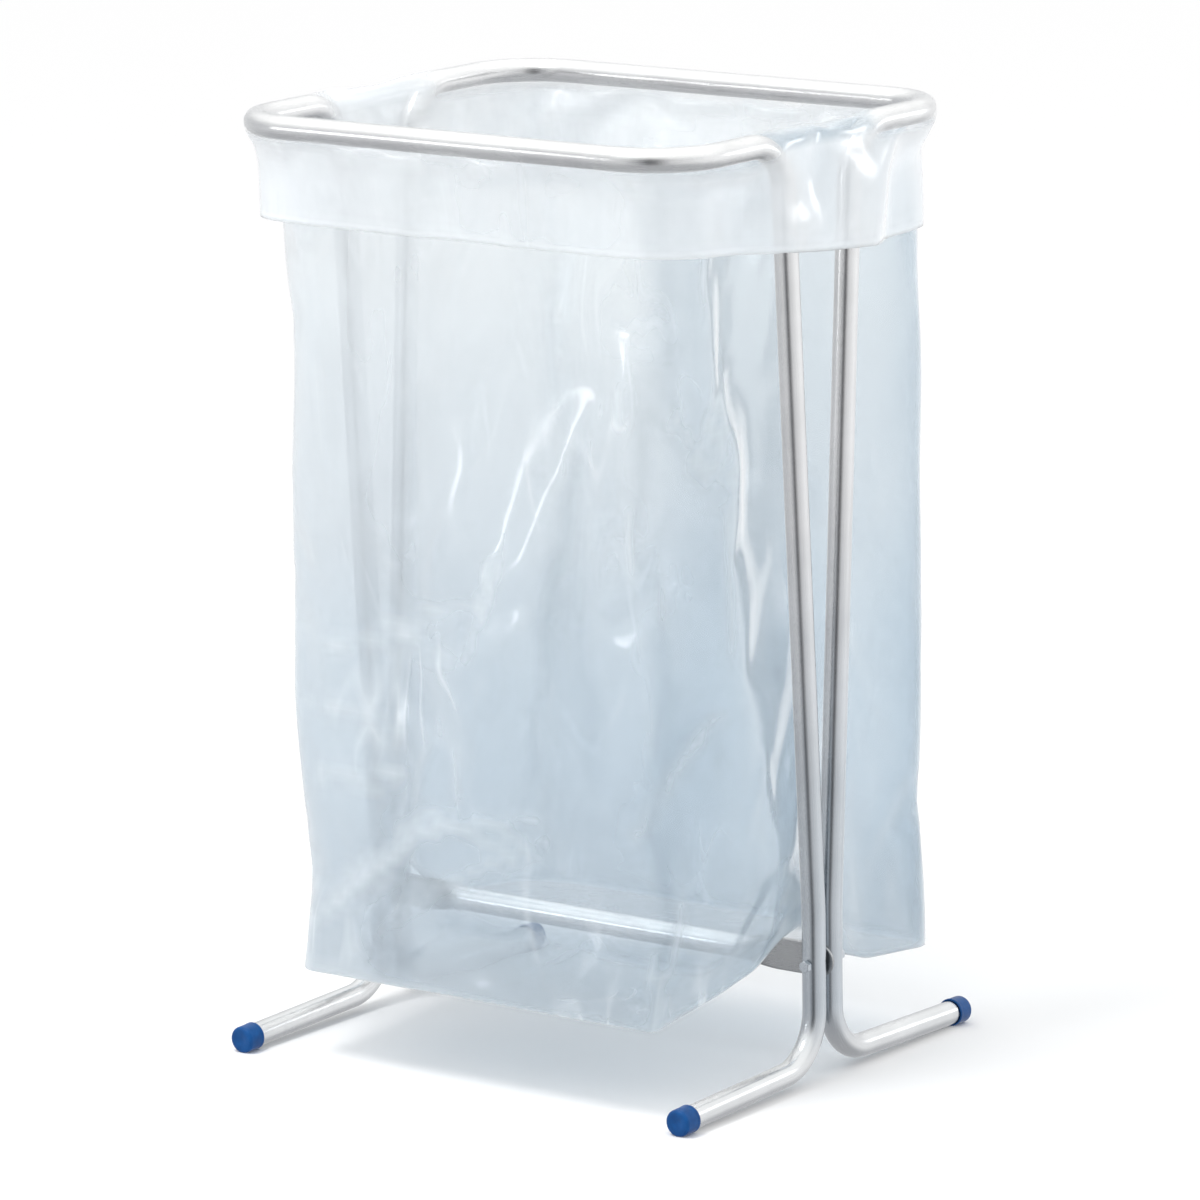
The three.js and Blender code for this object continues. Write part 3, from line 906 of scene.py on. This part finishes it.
class Nodes:
    """Shorthand for building a node tree."""

    def __init__(self, tree):
        tree.nodes.clear()
        self.tree = tree

    def add(self, kind, inputs=None, **settings):
        """A new node. Its inputs go by name or index; a socket is linked, anything else is set."""
        node = self.tree.nodes.new(f"ShaderNode{kind}")
        for name, value in settings.items():
            setattr(node, name, value)
        for key, value in (inputs or {}).items():
            socket = node.inputs[key]
            if isinstance(value, bpy.types.NodeSocket):
                self.tree.links.new(value, socket)
            else:
                socket.default_value = value
        return node

    def math(self, operation, a, b=0.0, clamp=False):
        return self.add("Math", {0: a, 1: b}, operation=operation, use_clamp=clamp).outputs[0]

    def total(self, *values):
        result = values[0]
        for value in values[1:]:
            result = self.math("ADD", result, value)
        return result

    def product(self, a, b):
        return self.math("MULTIPLY", a, b)

    def less(self, value, share, of):
        """value minus a share of another."""
        return self.math("SUBTRACT", value, self.product(of, share))

    def mix_colour(self, share, a, b, blend_type="MIX"):
        inputs = {0: share, 6: a, 7: b}
        return self.add("Mix", inputs, data_type="RGBA", blend_type=blend_type).outputs[2]

    def mix_value(self, share, a, b):
        return self.add("Mix", {0: share, 2: a, 3: b}, data_type="FLOAT").outputs[0]

    def noise(self, vector, scale, detail, roughness, distortion=0.0):
        inputs = {"Vector": vector, "Scale": scale, "Detail": detail}
        inputs.update({"Roughness": roughness, "Distortion": distortion})
        return self.add("TexNoise", inputs).outputs["Fac"]

    def axes(self, vector):
        """The vector's X, Y and Z."""
        return self.add("SeparateXYZ", {0: vector}).outputs

    def facing(self, normal=None):
        """0 where the surface faces the viewer, 1 where it is seen edge-on."""
        inputs = {0: 0.5} if normal is None else {0: 0.5, 1: normal}
        return self.add("LayerWeight", inputs).outputs["Facing"]

    def bump(self, height, strength, distance):
        inputs = {"Height": height, "Strength": strength, "Distance": distance}
        return self.add("Bump", inputs).outputs[0]

    def stretched(self, vector, scale):
        return self.add("Mapping", {"Vector": vector, "Scale": scale}).outputs[0]

    def ramp(self, share, stops):
        """A ramp through (position, colour) stops."""
        node = self.add("ValToRGB", {0: share})
        elements = node.color_ramp.elements
        while len(elements) < len(stops):
            elements.new(0.5)
        for element, (position, colour) in zip(elements, stops):
            element.position = position
            element.color = (*colour, 1)
        return node.outputs[0]

    def lines(self, value, width):
        """1 along the lines where a noise crosses its middle value, 0 beyond the given width."""
        away = self.math("ABSOLUTE", self.math("SUBTRACT", value, 0.5))
        return self.math("SUBTRACT", 1.0, self.math("DIVIDE", away, width), clamp=True)

    def above(self, value, start, end):
        """0 at start and before it, 1 at end and past it, with an even ease between."""
        inputs = {0: value, 1: start, 2: end}
        return self.add("MapRange", inputs, interpolation_type="SMOOTHSTEP").outputs[0]

    def attribute(self, name):
        return self.add("Attribute", attribute_name=name).outputs["Fac"]

    def mix_shader(self, share, a, b):
        return self.add("MixShader", {0: share, 1: a, 2: b}).outputs[0]

    def bsdf(self, kind, inputs=None):
        return self.add(f"Bsdf{kind}", inputs).outputs[0]

    def is_reflection(self):
        return self.add("LightPath").outputs["Is Glossy Ray"]

    def output(self, surface):
        self.add("OutputMaterial", {"Surface": surface})


def new_material(name):
    material = bpy.data.materials.new(name)
    material.use_nodes = True
    return material, Nodes(material.node_tree)


def object_position(nodes):
    return nodes.add("TexCoord").outputs["Object"]


# ---- materials ----

ZINC_TONES = [(0.3, (0.56, 0.565, 0.57)), (0.7, (0.71, 0.715, 0.72))]
# Crossbar zinc: a painted highlight where the film covers it, painted shade on its pressed ends.
ZINC_TONES_PAINTED_HIGHLIGHT = [(0.3, (0.78, 0.785, 0.79)), (0.7, (0.96, 0.965, 0.97))]
ZINC_TONES_PAINTED_DARK = [(0.3, (0.24, 0.25, 0.26)), (0.7, (0.36, 0.37, 0.38))]
# Painted shade: how the legs' colour is dimmed from the floor to the rim, darker low down (share of the
# rim's height, colour).
LEG_PAINTED_SHADE = [
    (0.03, (0.88, 0.89, 0.90)),
    (0.08, (0.66, 0.71, 0.76)),
    (0.32, (0.71, 0.75, 0.79)),
    (0.60, (0.93, 0.93, 0.94)),
    (0.85, (1.0, 1.0, 1.0)),
]
BAR_COVERED = (205 * MM, 175 * MM)  # from the middle, between the pressed ends with their painted shade and the covered bar with its painted highlight
# Noise patterns: scale, detail, roughness and, where given, distortion.
STREAKS, CLOUD, SPECKLE = (6.0, 6.0, 0.6), (14.0, 3.0, 0.55), (900.0, 2.0, 0.5)
MOTTLE, GRAIN, SCUFF = (60.0, 4.0, 0.6), (1800.0, 2.0, 0.5), (1.0, 5.0, 0.7)


def zinc_colour(nodes, tone, position, is_crossbar):
    """Painted shade darkens the legs low down. The crossbar has a painted highlight under the film and
    painted shade on its pressed ends.
    """
    place = nodes.axes(position)
    if is_crossbar:
        # painted highlight on the covered bar, painted shade on the pressed ends
        covered = nodes.above(nodes.math("ABSOLUTE", place[0]), *BAR_COVERED)
        pressed = nodes.ramp(tone, ZINC_TONES_PAINTED_DARK)
        return nodes.mix_colour(covered, pressed, nodes.ramp(tone, ZINC_TONES_PAINTED_HIGHLIGHT))
    level = nodes.math("DIVIDE", place[2], RIM_HEIGHT, clamp=True)
    # painted shade, darker low on the legs and feet
    painted_shade = nodes.ramp(level, LEG_PAINTED_SHADE)
    return nodes.mix_colour(1.0, nodes.ramp(tone, ZINC_TONES), painted_shade, "MULTIPLY")


def zinc_material(name, along_sweep, is_crossbar=False):
    """Bright zinc with an uneven polish; along a sweep it has fine drawing streaks."""
    material, nodes = new_material(name)
    position = object_position(nodes)
    coordinate = position
    if along_sweep:
        uv = nodes.add("UVMap", uv_map="sweep").outputs[0]
        coordinate = nodes.stretched(uv, (60.0, 4.0, 1.0))
    streaks = nodes.noise(coordinate, *STREAKS)
    cloud = nodes.noise(position, *CLOUD)
    speckle = nodes.noise(position, *SPECKLE)
    tone = nodes.total(nodes.product(streaks, 0.5), nodes.product(cloud, 0.5))
    height = nodes.total(nodes.product(streaks, 0.6), nodes.product(speckle, 0.25))
    nodes.output(nodes.bsdf("Principled", {
        "Base Color": zinc_colour(nodes, tone, position, is_crossbar),
        "Metallic": 1.0,
        "Roughness": nodes.mix_value(tone, 0.20, 0.34),
        "Normal": nodes.bump(height, 0.12, 0.2 * MM),
    }))
    return material


def cap_material():
    """Dark blue moulded plastic with a fine matte grain and scuffs."""
    material, nodes = new_material("blue_cap")
    position = object_position(nodes)
    mottle = nodes.noise(position, *MOTTLE)
    grain = nodes.noise(position, *GRAIN)
    scuff = nodes.noise(nodes.stretched(position, (90.0, 400.0, 400.0)), *SCUFF)
    nodes.output(nodes.bsdf("Principled", {
        "Base Color": nodes.ramp(mottle, [(0.3, (0.002, 0.045, 0.17)), (0.7, (0.004, 0.075, 0.26))]),
        "Roughness": nodes.mix_value(nodes.product(scuff, mottle), 0.30, 0.55),
        "Specular IOR Level": 0.18,
        "Normal": nodes.bump(grain, 0.2, 0.1 * MM),
    }))
    return material


# The film's colours up the sack (share of the rim's height, colour): of the light that passes
# through it, and of the light that it scatters. Both grow darker and bluer towards the bottom of
# the sack: painted shade.
FILM_TINT_AND_PAINTED_SHADE = [
    (0.08, (0.848, 0.876, 0.898)),
    (0.22, (0.843, 0.884, 0.916)),
    (0.45, (0.882, 0.916, 0.941)),
    (0.58, (0.925, 0.943, 0.957)),
    (0.72, (0.945, 0.960, 0.970)),
    (0.85, (0.980, 0.988, 0.992)),
]
FILM_MILK_AND_PAINTED_SHADE = [
    (0.10, (0.54, 0.61, 0.66)),
    (0.22, (0.57, 0.64, 0.69)),
    (0.50, (0.66, 0.72, 0.76)),
    (0.72, (0.72, 0.775, 0.805)),
    (0.85, (0.80, 0.85, 0.875)),
    (0.95, (0.92, 0.94, 0.95)),
]
# Painted shade: a darker tint on the right of the body.
TINT_PAINTED_SHADE_RIGHT = (0.80, 0.85, 0.89, 1)
TINT_CLINGING = (0.995, 0.995, 0.995, 1)
# Painted light: lighter milk on the left.
MILK_PAINTED_LIGHT_LEFT = (0.88, 0.90, 0.92, 1)
# Painted shade: darker milk on the right of the body.
MILK_PAINTED_SHADE_RIGHT = (0.45, 0.53, 0.58, 1)
MILK_CUFF = (0.93, 0.95, 0.97, 1)
# Whiter milk in creases and fold lines: partly the film's own whitening, partly a painted highlight.
MILK_CREASE_WHITE_AND_HIGHLIGHT = (0.92, 0.95, 0.97, 1)
# How much of the film scatters light, in parts that add up.
HAZE_EVERYWHERE = 0.06
HAZE_SLANTED = 0.40
HAZE_LEFT = 0.19
HAZE_PATCHES = 0.08
HAZE_CUFF = 0.09
HAZE_CUFF_RIGHT = 0.22
HAZE_CREASES = 0.40
HAZE_LINES = 0.06
FOLDED, WRINKLED = (15.0, 1.0, 0.5, 0.6), (5.0, 2.0, 0.5)
PATCHES, FINE_RELIEF = (7.0, 1.0, 0.5), (110.0, 3.0, 0.5)


def film_lines(nodes, position):
    """Thin soft lines where the film was folded, in some places only."""
    folded = nodes.noise(nodes.stretched(position, (1.0, 1.0, 0.35)), *FOLDED)
    wrinkled = nodes.above(nodes.noise(position, *WRINKLED), 0.50, 0.66)
    return nodes.product(nodes.lines(folded, 0.05), wrinkled)


def film_regions(nodes, position):
    """Where on the film a point is, each from 0 to 1."""
    place = nodes.axes(position)
    film = SimpleNamespace(level=nodes.math("DIVIDE", place[2], RIM_HEIGHT, clamp=True))
    film.cling, film.cuff, film.crease = map(nodes.attribute, ("cling", "cuff", "crease"))
    film.left = nodes.above(place[0], 120 * MM, -210 * MM)
    film.right = nodes.above(place[0], 190 * MM, BODY_HALF_WIDTH)
    # the right of the body, where painted shade darkens the film; none on the cuff
    film.body_right = nodes.product(film.right, nodes.less(0.6, 0.6, film.cuff))
    film.lines = film_lines(nodes, position)
    return film


def film_haze(nodes, position, place):
    """How much of the film scatters light instead of letting it through."""
    patches = nodes.noise(nodes.stretched(position, (1.0, 1.0, 0.45)), *PATCHES)
    cuff_haze = nodes.total(HAZE_CUFF, nodes.product(place.right, HAZE_CUFF_RIGHT))
    haze = nodes.total(
        HAZE_EVERYWHERE,
        nodes.product(nodes.math("POWER", nodes.facing(), 2.0), HAZE_SLANTED),
        nodes.product(place.left, HAZE_LEFT),
        nodes.product(patches, HAZE_PATCHES),
        nodes.product(place.cuff, cuff_haze),
        nodes.product(place.crease, HAZE_CREASES),
    )
    haze = nodes.product(haze, nodes.less(1.0, 0.97, place.cling))
    line_haze = nodes.product(place.lines, nodes.less(HAZE_LINES, 0.04, place.cling))
    return nodes.math("ADD", haze, line_haze, clamp=True)


def film_scatter(nodes, place):
    """The milky part: light scattered back and light scattered through."""
    # painted shade: the milk darkens towards the bottom of the sack
    milk = nodes.ramp(place.level, FILM_MILK_AND_PAINTED_SHADE)
    # painted light: lighter milk on the left
    milk = nodes.mix_colour(nodes.product(place.left, 0.6), milk, MILK_PAINTED_LIGHT_LEFT)
    # painted shade: darker milk on the right of the body
    milk = nodes.mix_colour(place.body_right, milk, MILK_PAINTED_SHADE_RIGHT)
    milk = nodes.mix_colour(nodes.product(place.cuff, 0.8), milk, MILK_CUFF)
    # creases and fold lines: partly the film's own whitening, partly a painted highlight
    whitened = nodes.math("MAXIMUM", nodes.product(place.crease, 0.6), place.lines)
    milk = nodes.mix_colour(whitened, milk, MILK_CREASE_WHITE_AND_HIGHLIGHT)
    return nodes.mix_shader(0.5, nodes.bsdf("Diffuse", {0: milk}), nodes.bsdf("Translucent", {0: milk}))


def film_material():
    """Clear blue-tinted film: see-through, milky at a slant, whitened in its creases, partly as the
    film's own whitening and partly as a painted highlight. The tubes mirror the room only, so
    reflections pass through the film."""
    material, nodes = new_material("clear_film")
    position = object_position(nodes)
    place = film_regions(nodes, position)
    # painted shade: the tint darkens towards the bottom of the sack and on the right of the body
    tint = nodes.mix_colour(place.body_right, nodes.ramp(place.level, FILM_TINT_AND_PAINTED_SHADE), TINT_PAINTED_SHADE_RIGHT)
    see_through = nodes.bsdf("Transparent", {0: nodes.mix_colour(place.cling, tint, TINT_CLINGING)})
    haze = film_haze(nodes, position, place)
    body = nodes.mix_shader(haze, see_through, film_scatter(nodes, place))

    fine = nodes.noise(nodes.stretched(position, (1.0, 1.0, 0.12)), *FINE_RELIEF)
    relief = nodes.total(nodes.product(fine, 0.25), nodes.product(place.lines, 0.35))
    normal = nodes.bump(relief, 0.25, 1 * MM)
    gloss = nodes.bsdf("Glossy", {"Color": (1, 1, 1, 1), "Roughness": 0.18, "Normal": normal})
    mirror = nodes.total(0.04, nodes.product(nodes.math("POWER", nodes.facing(normal), 4.0), 0.9))
    mirror = nodes.product(mirror, nodes.less(1.0, 0.8, place.cling))
    film = nodes.mix_shader(mirror, body, gloss)
    nodes.output(nodes.mix_shader(nodes.is_reflection(), film, nodes.bsdf("Transparent")))
    return material


# ---- stage ----

CAMERA_AZIMUTH = math.radians(36.3)
CAMERA_ELEVATION = math.radians(12.1)
CAMERA_ROLL = math.radians(-0.8)
CAMERA_DISTANCE = 7.275
CAMERA_TARGET = Vector((0.0036, 0, 0.4723))
CAMERA_SENSOR = 36  # in mm, as is the lens
CAMERA_LENS = 209.5
VIEW_DEPTH = 200
FLOOR_HALF_SIZE = 40
FLOOR_COLOUR = (0.95, 0.95, 0.95, 1)
ROOM_LIGHT = (1.04, 1.04, 1.04, 1)
OVERHEAD = (1.65, 1.65, 1.63, 1)
UNDERFOOT = (0.62, 0.63, 0.65, 1)
# What shiny surfaces see round the horizon: the camera's side at 0.5, its left at 0.25, its right
# at 0.75 and the far side at 0 and 1.
AROUND = [
    (0.00, (0.88, 0.89, 0.90)),
    (0.25, (0.82, 0.83, 0.85)),
    (0.36, (0.98, 0.98, 0.99)),
    (0.43, (0.52, 0.53, 0.55)),
    (0.455, (0.08, 0.08, 0.085)),
    (0.485, (0.14, 0.14, 0.145)),
    (0.54, (0.95, 0.95, 0.96)),
    (0.75, (1.40, 1.40, 1.40)),
    (0.93, (1.10, 1.10, 1.11)),
    (1.00, (0.88, 0.89, 0.90)),
]
# name, place, what it points at, size and power in watts
LIGHTS = [
    ("top_light", (-0.4, -1.2, 3.0), (0, 0, 0.6), (1.0, 1.0), 40),
    ("front_glint", (-2.2, -2.9, 0.95), (0, 0, 0.5), (0.4, 0.6), 5),
    ("side_glint", (2.1, 2.8, 1.1), (0, 0, 0.5), (0.4, 0.6), 5),
]
FILM_LAYERS = 40  # how many sheets a ray may pass through


def camera():
    data = bpy.data.cameras.new("camera")
    data.lens = CAMERA_LENS
    data.sensor_width = CAMERA_SENSOR
    data.clip_end = VIEW_DEPTH
    obj = new_object("camera", data)
    level = math.cos(CAMERA_ELEVATION)
    back = Vector((
        math.sin(CAMERA_AZIMUTH) * level,
        -math.cos(CAMERA_AZIMUTH) * level,
        math.sin(CAMERA_ELEVATION),
    ))
    right = Vector((math.cos(CAMERA_AZIMUTH), math.sin(CAMERA_AZIMUTH), 0))
    up = back.cross(right)
    rolled_right = right * math.cos(CAMERA_ROLL) + up * math.sin(CAMERA_ROLL)
    rolled_up = up * math.cos(CAMERA_ROLL) - right * math.sin(CAMERA_ROLL)
    turn = Matrix((rolled_right, rolled_up, back)).transposed().to_4x4()
    obj.matrix_world = Matrix.Translation(CAMERA_TARGET + back * CAMERA_DISTANCE) @ turn
    bpy.context.scene.camera = obj


def floor():
    """A plain pale floor, which shiny surfaces don't see: they see the room below the horizon."""
    h = FLOOR_HALF_SIZE
    obj = mesh_object("floor", [(-h, -h, 0), (h, -h, 0), (h, h, 0), (-h, h, 0)], [(0, 1, 2, 3)])
    material, nodes = new_material("floor")
    nodes.output(nodes.bsdf("Diffuse", {0: FLOOR_COLOUR}))
    obj.visible_glossy = False
    obj.data.materials.append(material)


def studio_world():
    """Even white surroundings. Shiny surfaces also see a dark gap beside the camera."""
    world = bpy.data.worlds.new("studio")
    bpy.context.scene.world = world
    world.use_nodes = True
    nodes = Nodes(world.node_tree)
    direction = nodes.axes(nodes.add("TexCoord").outputs["Generated"])
    bearing = nodes.math("ARCTAN2", direction[1], direction[0])
    from_camera = nodes.math("SUBTRACT", bearing, CAMERA_AZIMUTH - math.pi / 2)
    wrapped = nodes.add("Math", {0: from_camera, 1: math.pi, 2: -math.pi}, operation="WRAP")
    turn = nodes.math("ADD", nodes.math("DIVIDE", wrapped.outputs[0], 2 * math.pi), 0.5)
    shiny = nodes.mix_colour(nodes.above(direction[2], 0.15, 0.75), nodes.ramp(turn, AROUND), OVERHEAD)
    shiny = nodes.mix_colour(nodes.above(direction[2], -0.25, -0.75), shiny, UNDERFOOT)
    colour = nodes.mix_colour(nodes.is_reflection(), ROOM_LIGHT, shiny)
    background = nodes.add("Background", {0: colour, 1: 1.0})
    nodes.add("OutputWorld", {0: background.outputs[0]})


def soft_light(name, location, target, size, power):
    data = bpy.data.lights.new(name, "AREA")
    data.shape = "RECTANGLE"
    data.size, data.size_y = size
    data.energy = power
    obj = new_object(name, data)
    obj.location = location
    obj.rotation_mode = "QUATERNION"
    obj.rotation_quaternion = (Vector(target) - Vector(location)).to_track_quat("-Z", "Y")


def stage():
    camera()
    floor()
    studio_world()
    for light in LIGHTS:
        soft_light(*light)
    scene = bpy.context.scene
    scene.view_settings.view_transform = "Standard"
    scene.cycles.transparent_max_bounces = FILM_LAYERS


# ---- assembly ----


def dress(obj, material, body, slot, *nodes):
    """Gives a finished piece its material and the body it rides on, and hides the CAD nodes it stands
    for.
    """
    obj.data.materials.clear()
    obj.data.materials.append(material)
    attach(obj, body)
    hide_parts(*nodes)


def build():
    tube_zinc = zinc_material("zinc_tube", True)
    fastener_zinc = zinc_material("zinc_fastener", False)
    blue = cap_material()
    dress(tube_frame("front_tube", -1, -RIM_FRONT), tube_zinc, "front_half", "zinc_tube", "front_frame")
    dress(tube_frame("back_tube", 1, RIM_BACK), tube_zinc, "back_half", "zinc_tube", "back_frame")
    # the crossbar's zinc carries a painted highlight and painted shade
    bar_zinc_painted_light = zinc_material("zinc_bar_painted_light", True, is_crossbar=True)
    dress(crossbar(), bar_zinc_painted_light, "clamp", "zinc_tube", "crossbar")
    for side, x in (("left", -SIDE_X), ("right", SIDE_X)):
        dress(bolt(f"bolt_{side}", x), fastener_zinc, "clamp", "zinc_fastener", f"clamp_bolt_{side}")
        dress(nut(f"nut_{side}", x), fastener_zinc, "clamp", "zinc_fastener", f"clamp_nut_{side}")
        for end, out in (("front", -1), ("back", 1)):
            cap = foot_cap(f"cap_{end}_{side}", x, out)
            dress(cap, blue, f"{end}_half", "blue_cap", f"foot_cap_{end}_{side}")
    film = sack()
    dress(film, film_material(), "sack", "clear_film", "sack")
    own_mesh(film)


build()
stage()
